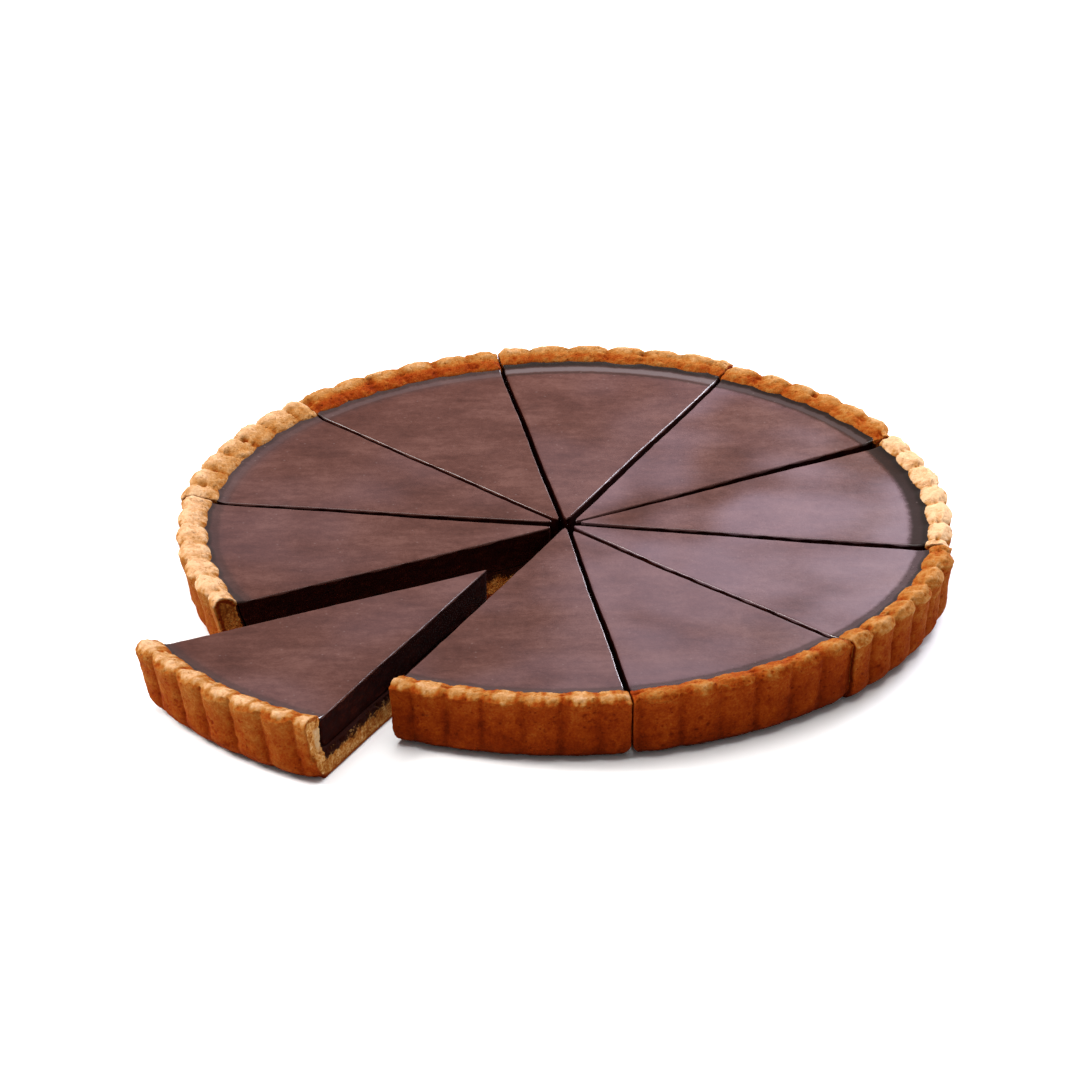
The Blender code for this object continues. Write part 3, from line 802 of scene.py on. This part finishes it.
# ---------------------------------------------------------------- materials
class Nodes:
    """A short way to write node trees."""

    def __init__(self, name):
        self.material = bpy.data.materials.new(name)
        self.material.use_nodes = True
        self.tree = self.material.node_tree
        self.shader = self.tree.nodes["Principled BSDF"]

    def node(self, kind, inputs=None, **settings):
        made = self.tree.nodes.new(kind)
        for key, value in settings.items():
            setattr(made, key, value)
        for key, value in (inputs or {}).items():
            self.put(made.inputs[key], value)
        return made

    def put(self, socket, value):
        if isinstance(value, bpy.types.NodeSocket):
            self.tree.links.new(value, socket)
        else:
            socket.default_value = value

    def number(self, name):
        return self.node("ShaderNodeAttribute", attribute_name=name, attribute_type="GEOMETRY").outputs["Fac"]

    def place(self, scale=(1, 1, 1)):
        """Object coordinates in millimetres."""
        at = self.node("ShaderNodeTexCoord").outputs["Object"]
        return self.node("ShaderNodeMapping", {"Vector": at, "Scale": tuple(1000.0 * s for s in scale)}).outputs["Vector"]

    def noise(self, at, size, detail=3.0, rough=0.55, distortion=0.0):
        return self.node("ShaderNodeTexNoise", {"Vector": at, "Scale": 1.0 / size, "Detail": detail,
                                                "Roughness": rough, "Distortion": distortion}).outputs["Fac"]

    def cells(self, at, size, feature="F1", out="Distance", randomness=1.0):
        return self.node("ShaderNodeTexVoronoi", {"Vector": at, "Scale": 1.0 / size, "Randomness": randomness},
                         feature=feature).outputs[out]

    def math(self, operation, a, b=0.0, c=None, clamp=False):
        made = self.node("ShaderNodeMath", operation=operation, use_clamp=clamp)
        self.put(made.inputs[0], a)
        self.put(made.inputs[1], b)
        if c is not None:
            self.put(made.inputs[2], c)
        return made.outputs[0]

    def ranged(self, value, low, high, to_low=0.0, to_high=1.0, smoothly=True):
        return self.node("ShaderNodeMapRange", {"Value": value, "From Min": low, "From Max": high,
                                                "To Min": to_low, "To Max": to_high},
                         interpolation_type="SMOOTHSTEP" if smoothly else "LINEAR").outputs["Result"]

    def ramp(self, value, stops, interpolation="LINEAR"):
        made = self.node("ShaderNodeValToRGB", {"Fac": value})
        elements = made.color_ramp.elements
        made.color_ramp.interpolation = interpolation
        while len(elements) > 1:
            elements.remove(elements[-1])
        elements[0].position, elements[0].color = stops[0][0], (*stops[0][1], 1.0)
        for position, colour in stops[1:]:
            elements.new(position).color = (*colour, 1.0)
        return made.outputs["Color"]

    def mix(self, share, a, b, blend="MIX"):
        made = self.node("ShaderNodeMix", data_type="RGBA", blend_type=blend)
        self.put(made.inputs["Factor"], share)
        self.put(made.inputs["A"], (*a, 1.0) if isinstance(a, tuple) else a)
        self.put(made.inputs["B"], (*b, 1.0) if isinstance(b, tuple) else b)
        return made.outputs["Result"]

    def bump(self, height, distance, strength=1.0, under=None):
        inputs = {"Height": height, "Distance": distance * MM, "Strength": strength}
        if under is not None:
            inputs["Normal"] = under
        return self.node("ShaderNodeBump", inputs).outputs["Normal"]


def pastry_material():
    n = Nodes("baked_pastry")
    at = n.place()
    toast = n.number("toast")
    cut = n.number("cut")
    fine = n.noise(at, 0.75, 4.0, 0.65)
    middle = n.noise(at, 3.2, 3.0, 0.6)
    wide = n.noise(at, 12.0, 2.0)
    shade = n.math("ADD", toast, n.math("MULTIPLY", n.math("SUBTRACT", fine, 0.5), 0.46))
    shade = n.math("ADD", shade, n.math("MULTIPLY", n.math("SUBTRACT", middle, 0.5), 0.26))
    shade = n.math("ADD", shade, n.math("MULTIPLY", n.math("SUBTRACT", wide, 0.5), 0.16))
    # scattered specks that caught
    bent = n.node("ShaderNodeVectorMath", {0: at, 1: n.node("ShaderNodeTexNoise", {"Vector": at, "Scale": 1.1, "Detail": 2.0}).outputs["Color"]}, operation="ADD").outputs[0]
    spots = n.node("ShaderNodeTexVoronoi", {"Vector": bent, "Scale": 1.0 / 1.7, "Randomness": 1.0})
    chosen = n.ranged(n.node("ShaderNodeSeparateColor", {"Color": spots.outputs["Color"]}).outputs["Red"], 0.70, 0.82)
    speck = n.math("MULTIPLY", n.ranged(spots.outputs["Distance"], 0.34, 0.12), chosen)
    shade = n.math("ADD", shade, n.math("MULTIPLY", speck, 0.12), clamp=True)
    baked = n.ramp(shade, [
        (0.00, (0.52, 0.33, 0.185)),
        (0.12, (0.45, 0.245, 0.120)),
        (0.26, (0.345, 0.166, 0.058)),
        (0.42, (0.275, 0.101, 0.0200)),
        (0.56, (0.230, 0.056, 0.0070)),
        (0.70, (0.190, 0.0285, 0.0022)),
        (0.84, (0.135, 0.0150, 0.0011)),
        (1.00, (0.080, 0.0080, 0.0008)),
    ])
    # the torn inside: cream to ochre, with browner crumbs; the toast value says how far it was coloured, and on the
    # ends of the ring portions it is set dark as painted shade
    crumb = n.number("crumb")
    grain = n.noise(at, 0.9, 4.0, 0.7)
    patch = n.noise(at, 3.6, 2.0)
    inside_at = n.math("ADD", n.math("MULTIPLY", toast, 0.62), n.math("MULTIPLY", n.math("SUBTRACT", grain, 0.5), 1.10))
    inside_at = n.math("ADD", inside_at, n.math("MULTIPLY", n.math("SUBTRACT", patch, 0.5), 0.70))
    inside_at = n.math("SUBTRACT", inside_at, n.math("MULTIPLY", n.math("SUBTRACT", crumb, 0.5), 0.30), clamp=True)
    inside = n.ramp(inside_at, [
        (0.00, (0.62, 0.40, 0.19)),
        (0.22, (0.47, 0.225, 0.065)),
        (0.42, (0.33, 0.110, 0.019)),
        (0.64, (0.18, 0.040, 0.0050)),
        (1.00, (0.030, 0.0055, 0.0016)),
    ])
    # chocolate smeared over it, dark and uneven
    smear = n.number("smear")
    drip = n.noise(at, 5.0, 3.0, 0.6)
    smeared = n.math("ADD", smear, n.math("MULTIPLY", n.math("SUBTRACT", drip, 0.5), 1.7))
    smeared = n.ranged(n.math("ADD", smeared, n.math("MULTIPLY", n.math("SUBTRACT", grain, 0.5), 1.3)), 0.26, 0.86)
    # a thin baked skin shows round the edge of every cut
    deep = n.number("deep")
    skin = n.ranged(n.math("SUBTRACT", n.math("ADD", deep, n.math("MULTIPLY", n.math("SUBTRACT", middle, 0.5), 1.6)), n.number("skin_deep")), 0.0, 0.9)
    colour = n.mix(n.math("MULTIPLY", cut, skin), baked, inside)
    # the wall's own crumb stays pale where the cut is clean
    colour = n.mix(n.math("MULTIPLY", n.number("clean"), n.ranged(grain, 0.30, 0.55)), colour, (0.46, 0.30, 0.155))
    colour = n.mix(smeared, colour, (0.018, 0.0034, 0.0018))
    n.put(n.shader.inputs["Base Color"], colour)
    rough = n.ranged(fine, 0.3, 0.7, 0.72, 0.95)
    n.put(n.shader.inputs["Roughness"], rough)
    n.shader.inputs["Specular IOR Level"].default_value = 0.015
    height = n.math("ADD", n.math("MULTIPLY", fine, 0.6), n.math("MULTIPLY", middle, 0.35))
    height = n.math("SUBTRACT", height, n.math("MULTIPLY", speck, 0.5))
    n.put(n.shader.inputs["Normal"], n.bump(height, 0.62, 1.0))
    return n.material


def chocolate_material():
    n = Nodes("chocolate_top")
    at = n.place()
    edge = n.number("edge")
    broad = n.noise(at, 26.0, 3.0, 0.55)
    streak = n.noise(n.place((0.55, 1.35, 1.0)), 7.0, 4.0, 0.6, 0.4)
    mottle = n.noise(at, 2.6, 3.0, 0.6)
    fine = n.noise(at, 0.55, 2.0)
    grain = n.noise(at, 0.8, 3.0, 0.7)
    tone = n.math("ADD", n.math("MULTIPLY", broad, 0.32), n.math("MULTIPLY", streak, 0.30))
    tone = n.math("ADD", tone, n.math("MULTIPLY", mottle, 0.18))
    tone = n.math("ADD", tone, n.math("MULTIPLY", grain, 0.20))
    colour = n.ramp(tone, [
        (0.40, (0.040, 0.0098, 0.0056)),
        (0.50, (0.059, 0.0176, 0.0115)),
        (0.60, (0.084, 0.0308, 0.0222)),
    ])
    # pale lavender patches, cloudy: partly a faint bloom, partly painted sheen, more of it on some portions than on
    # others
    bloom_and_sheen = n.number("bloom_and_sheen")
    cloud = n.ranged(n.math("ADD", n.noise(at, 42.0, 1.0, 0.4), n.math("MULTIPLY", n.math("SUBTRACT", grain, 0.5), 0.10)), 0.36, 0.68)
    colour = n.mix(n.math("MULTIPLY", n.math("MULTIPLY", cloud, bloom_and_sheen), 0.36), colour, (0.20, 0.145, 0.185))
    # where it climbs to the crust: a painted bluish reflection on some portions and painted shade on others, and a
    # painted dark shade line right at the crust; at the back a painted pale sheen band and a thin brown line lie inside
    # that
    uneven = n.math("DIVIDE", n.math("ADD", edge, n.math("MULTIPLY", n.math("SUBTRACT", mottle, 0.5), 1.3)), n.number("band_wide"))
    climb_shade = n.number("climb_shade")
    sheen_band = n.number("sheen_band")
    blue_reflection = n.math("SUBTRACT", 1.0, climb_shade)
    climb = n.ranged(uneven, 9.0, 2.0)
    colour = n.mix(n.math("MULTIPLY", n.math("MULTIPLY", climb, blue_reflection), 0.42), colour, (0.030, 0.0200, 0.0230))
    colour = n.mix(n.math("MULTIPLY", n.math("MULTIPLY", n.ranged(uneven, 6.4, 4.2), climb_shade), 0.92), colour, (0.0105, 0.0042, 0.0022))
    band = n.math("MULTIPLY", n.ranged(uneven, 1.7, 2.7), n.ranged(uneven, 5.0, 4.0))
    colour = n.mix(n.math("MULTIPLY", n.math("MULTIPLY", band, sheen_band), 0.75), colour, (0.105, 0.078, 0.078))
    thread = n.math("MULTIPLY", n.ranged(uneven, 4.6, 5.2), n.ranged(uneven, 6.2, 5.5))
    colour = n.mix(n.math("MULTIPLY", n.math("MULTIPLY", thread, sheen_band), 0.65), colour, (0.020, 0.0068, 0.0040))
    contact_shade = n.ranged(uneven, 2.5, 1.0)
    colour = n.mix(n.math("MULTIPLY", contact_shade, n.math("ADD", 0.35, n.math("MULTIPLY", n.math("MAXIMUM", climb_shade, sheen_band), 0.60))), colour, (0.0085, 0.0038, 0.0024))
    speck = n.cells(at, 3.4)
    pick = n.node("ShaderNodeSeparateColor", {"Color": n.node("ShaderNodeTexVoronoi", {"Vector": at, "Scale": 1.0 / 3.4, "Randomness": 1.0}).outputs["Color"]}).outputs["Green"]
    speck = n.math("MULTIPLY", n.ranged(speck, 0.15, 0.07), n.ranged(pick, 0.62, 0.70))
    colour = n.mix(n.math("MULTIPLY", speck, 0.17), colour, (0.22, 0.16, 0.15))
    n.put(n.shader.inputs["Base Color"], colour)
    rough = n.math("ADD", n.ranged(broad, 0.35, 0.65, 0.36, 0.42), n.math("MULTIPLY", n.math("SUBTRACT", mottle, 0.5), 0.10))
    rough = n.math("SUBTRACT", rough, n.math("MULTIPLY", n.ranged(n.number("deep"), 1.0, 0.5), 0.10))
    ring = n.math("SUBTRACT", 0.10, n.math("MULTIPLY", climb_shade, 0.34))
    rough = n.math("ADD", rough, n.math("MULTIPLY", n.ranged(uneven, 6.6, 4.4), ring), clamp=True)
    n.put(n.shader.inputs["Roughness"], rough)
    n.shader.inputs["Specular IOR Level"].default_value = 0.26
    height = n.math("ADD", n.math("MULTIPLY", mottle, 0.6), n.math("MULTIPLY", fine, 0.25))
    height = n.math("ADD", height, n.math("MULTIPLY", streak, 0.8))
    n.put(n.shader.inputs["Normal"], n.bump(n.math("ADD", height, n.math("MULTIPLY", grain, 0.5)), 0.10, 0.60))
    return n.material


def cut_chocolate_material():
    n = Nodes("chocolate_cut")
    at = n.place()
    drag = n.noise(n.place((0.7, 0.7, 1.6)), 3.0, 4.0, 0.6, 0.3)
    fine = n.noise(at, 0.8, 3.0)
    tone = n.math("ADD", n.math("MULTIPLY", drag, 0.7), n.math("MULTIPLY", fine, 0.3))
    # near black: the cut chocolate's own dark colour, darkened further as painted shade for the narrow gaps between
    # portions
    colour = n.ramp(tone, [
        (0.34, (0.0055, 0.0006, 0.0003)),
        (0.52, (0.0125, 0.0013, 0.0006)),
        (0.70, (0.0300, 0.0048, 0.0022)),
    ])
    n.put(n.shader.inputs["Base Color"], colour)
    n.put(n.shader.inputs["Roughness"], n.ranged(drag, 0.3, 0.7, 0.60, 0.80))
    n.shader.inputs["Specular IOR Level"].default_value = 0.012
    n.put(n.shader.inputs["Normal"], n.bump(tone, 0.25, 0.6))
    return n.material


def floor_material():
    n = Nodes("pale_floor")
    at = n.place()
    cloud = n.noise(at, 900.0, 2.0)
    n.put(n.shader.inputs["Base Color"], n.ramp(cloud, [(0.3, (0.905, 0.905, 0.905)), (0.7, (0.925, 0.925, 0.925))]))
    n.shader.inputs["Roughness"].default_value = 0.9
    n.shader.inputs["Specular IOR Level"].default_value = 0.1
    return n.material


PASTRY = pastry_material()
TOP = chocolate_material()
CUT = cut_chocolate_material()


# ---------------------------------------------------------------- placing the portions
def whereabouts():
    """Every portion's number, rim centre, heading, sides, flutes and looks, about the hub."""
    out = []
    for number, before, after, slid, rim, lean, crest, *looks, grooves in RING:
        heading = (CUTS[before][0] + CUTS[after][0]) / 2.0
        x, y = turned(slid, 0.0, heading)
        low, high = cut_side(before, 1, x, y, heading), cut_side(after, -1, x, y, heading)
        # grooves were set out about the hub; turn them about the rim's own centre
        marks = []
        for g in grooves:
            a = math.radians(g)
            dx, dy = math.cos(a), math.sin(a)
            b = x * dx + y * dy
            t = b + math.sqrt(b * b - (x * x + y * y - RIM_RADIUS ** 2))
            marks.append(heading + (math.degrees(math.atan2(t * dy - y, t * dx - x)) - heading + 180) % 360 - 180)
        out.append((number, x, y, heading, low, high, marks, rim, lean, crest, looks))
    number, before, after, rim, lean, crest, *looks, grooves = DRAWN
    tip_x, tip_y = DRAWN_TIP_LOST
    back = turned(-tip_x, -tip_y, DRAWN_HEADING)
    sides = []
    for which, label in ((-1, before), (1, after)):
        dx, dy = turned(100.0, 0.0, which * DRAWN_ANGLE / 2.0)
        sides.append(Side(tip_x, tip_y, tip_x + dx, tip_y + dy, label, which, CRUMBLE if which > 0 else 0.0))
    out.append((number, DRAWN_TIP[0] + back[0], DRAWN_TIP[1] + back[1], DRAWN_HEADING,
                sides[0], sides[1], list(grooves), rim, lean, crest, looks))
    return out


def hub_of(portions):
    """The hub's place in the frame: the outlines' box is centred on the CAD's box."""
    points = []
    for number, x, y, heading, low, high, marks, rim, lean, crest, looks in portions:
        start, end = float(low.angle_at(RIM_RADIUS)), float(high.angle_at(RIM_RADIUS))
        for a in np.linspace(start, end, 400):
            points.append(turned(RIM_RADIUS * math.cos(a), RIM_RADIUS * math.sin(a), heading))
            points[-1] = (points[-1][0] + x, points[-1][1] + y)
    points = np.array(points)
    middle = (points.min(0) + points.max(0)) / 2.0
    cad = (CAD_BOX[0] + CAD_BOX[1]) / 2.0 / MM
    return cad.x - middle[0], cad.y - middle[1]


PORTIONS = whereabouts()
HUB = hub_of(PORTIONS)
print("hub", HUB)


def put(name, mesh, x, y, heading, node, looks):
    for look in looks:
        mesh.materials.append(look)
    # vertices go straight into the row frame, in metres
    a = math.radians(heading)
    p = coords(mesh)
    q = np.stack([p[:, 0] * math.cos(a) - p[:, 1] * math.sin(a) + x + HUB[0],
                  p[:, 0] * math.sin(a) + p[:, 1] * math.cos(a) + y + HUB[1], p[:, 2]], 1) * MM
    mesh.vertices.foreach_set("co", q.ravel())
    mesh.update()
    piece = bpy.data.objects.new(name, mesh)
    bpy.context.scene.collection.objects.link(piece)
    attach(piece, "root")
    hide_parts(node)
    return piece


for i, (number, x, y, heading, low, high, marks, rim, lean, crest, looks) in enumerate(PORTIONS):
    seed = 11 + 7 * i
    flutes = Flutes(marks, np.random.default_rng(seed + 300))
    low.blunt = high.blunt = 0.3 if number == "01" else 1.7
    low.close_from = high.close_from = RIM_RADIUS - rim
    # the ends of the ring portions, seen down the narrow gaps, are coloured dark red-brown: painted shade; the drawn
    # portion's ends stay paler
    end_toast_and_shade = {"01": (0.50, 0.58), "10": (0.95, 0.88)}.get(number, (0.95, 0.95))
    case = case_mesh("case_" + number, low, high, heading, flutes, rim, lean, crest, looks, seed, end_toast_and_shade)
    put("case_" + number, case, x, y, heading, "crust_" + number, [PASTRY])
    low.close_from = high.close_from = None
    choc = filling_mesh("choc_" + number, low, high, heading, flutes, rim, seed)
    put("choc_" + number, choc, x, y, heading, "filling_" + number, [TOP, CUT])

# ---------------------------------------------------------------- floor, light and camera
floor_mesh = bpy.data.meshes.new("floor")
floor_mesh.from_pydata([(-9, -9, -0.0002), (9, -9, -0.0002), (9, 9, -0.0002), (-9, 9, -0.0002)], [], [(0, 1, 2, 3)])
floor_mesh.materials.append(floor_material())
floor = bpy.data.objects.new("floor", floor_mesh)
bpy.context.scene.collection.objects.link(floor)


def area(name, at, aim, size, power, colour):
    lamp = bpy.data.lights.new(name, "AREA")
    lamp.shape = "DISK"
    lamp.size = size
    lamp.energy = power
    lamp.color = colour
    made = bpy.data.objects.new(name, lamp)
    made.location = at
    made.rotation_euler = (Vector(aim) - Vector(at)).to_track_quat("-Z", "Y").to_euler()
    made.visible_camera = False
    bpy.context.scene.collection.objects.link(made)
    return made


def sun(name, towards, strength, spread, colour):
    lamp = bpy.data.lights.new(name, "SUN")
    lamp.energy = strength
    lamp.angle = math.radians(spread)
    lamp.color = colour
    made = bpy.data.objects.new(name, lamp)
    made.rotation_euler = Vector(towards).to_track_quat("-Z", "Y").to_euler()
    made.location = (0, 0, 2)
    bpy.context.scene.collection.objects.link(made)
    return made


# a broad soft light from the left, a cooler one low behind on the right, and the room's own light
sun("key_left", (0.78, -0.22, -0.62), 4.2, 22, (1.0, 0.985, 0.965))
sun("overhead", (0.05, 0.0, -1.0), 3.0, 50, (1.0, 0.995, 0.985))
area("back_right", (0.40, 0.52, 0.24), (0.03, 0.0, 0.02), 0.32, 8.8, (0.84, 0.88, 1.0))

world = bpy.data.worlds.new("room")
bpy.context.scene.world = world
world.use_nodes = True
tree = world.node_tree
back = tree.nodes["Background"]
back.inputs["Color"].default_value = (1.0, 1.0, 1.0, 1.0)
back.inputs["Strength"].default_value = 0.36
seen = tree.nodes.new("ShaderNodeBackground")
seen.inputs["Color"].default_value = (1.0, 1.0, 1.0, 1.0)
seen.inputs["Strength"].default_value = 1.0
path = tree.nodes.new("ShaderNodeLightPath")
choose = tree.nodes.new("ShaderNodeMixShader")
tree.links.new(path.outputs["Is Camera Ray"], choose.inputs["Fac"])
tree.links.new(back.outputs["Background"], choose.inputs[1])
tree.links.new(seen.outputs["Background"], choose.inputs[2])
tree.links.new(choose.outputs["Shader"], tree.nodes["World Output"].inputs["Surface"])

ELEVATION, ROLL, DISTANCE = math.radians(27.08), math.radians(-0.662), 3.0
AIM = Vector((-3.312, 38.982, 0.0)) * MM
forward = Vector((0.0, math.cos(ELEVATION), -math.sin(ELEVATION)))
right = Vector((1.0, 0.0, 0.0))
up = right.cross(forward)
level_right = right * math.cos(ROLL) + up * math.sin(ROLL)
level_up = -right * math.sin(ROLL) + up * math.cos(ROLL)
camera_data = bpy.data.cameras.new("camera")
camera_data.lens = 2.723 * DISTANCE * 1000.0 * 36.0 / 1080.0
camera_data.sensor_width = 36.0
camera_data.clip_start = 0.05
camera_data.clip_end = 60.0
camera = bpy.data.objects.new("camera", camera_data)
place = Matrix((level_right, level_up, -forward)).transposed().to_4x4()
place.translation = AIM - forward * DISTANCE
camera.matrix_world = place
bpy.context.scene.collection.objects.link(camera)
bpy.context.scene.camera = camera
bpy.context.scene.view_settings.view_transform = "Standard"
bpy.context.scene.view_settings.look = "None"

bpy.context.view_layer.update()
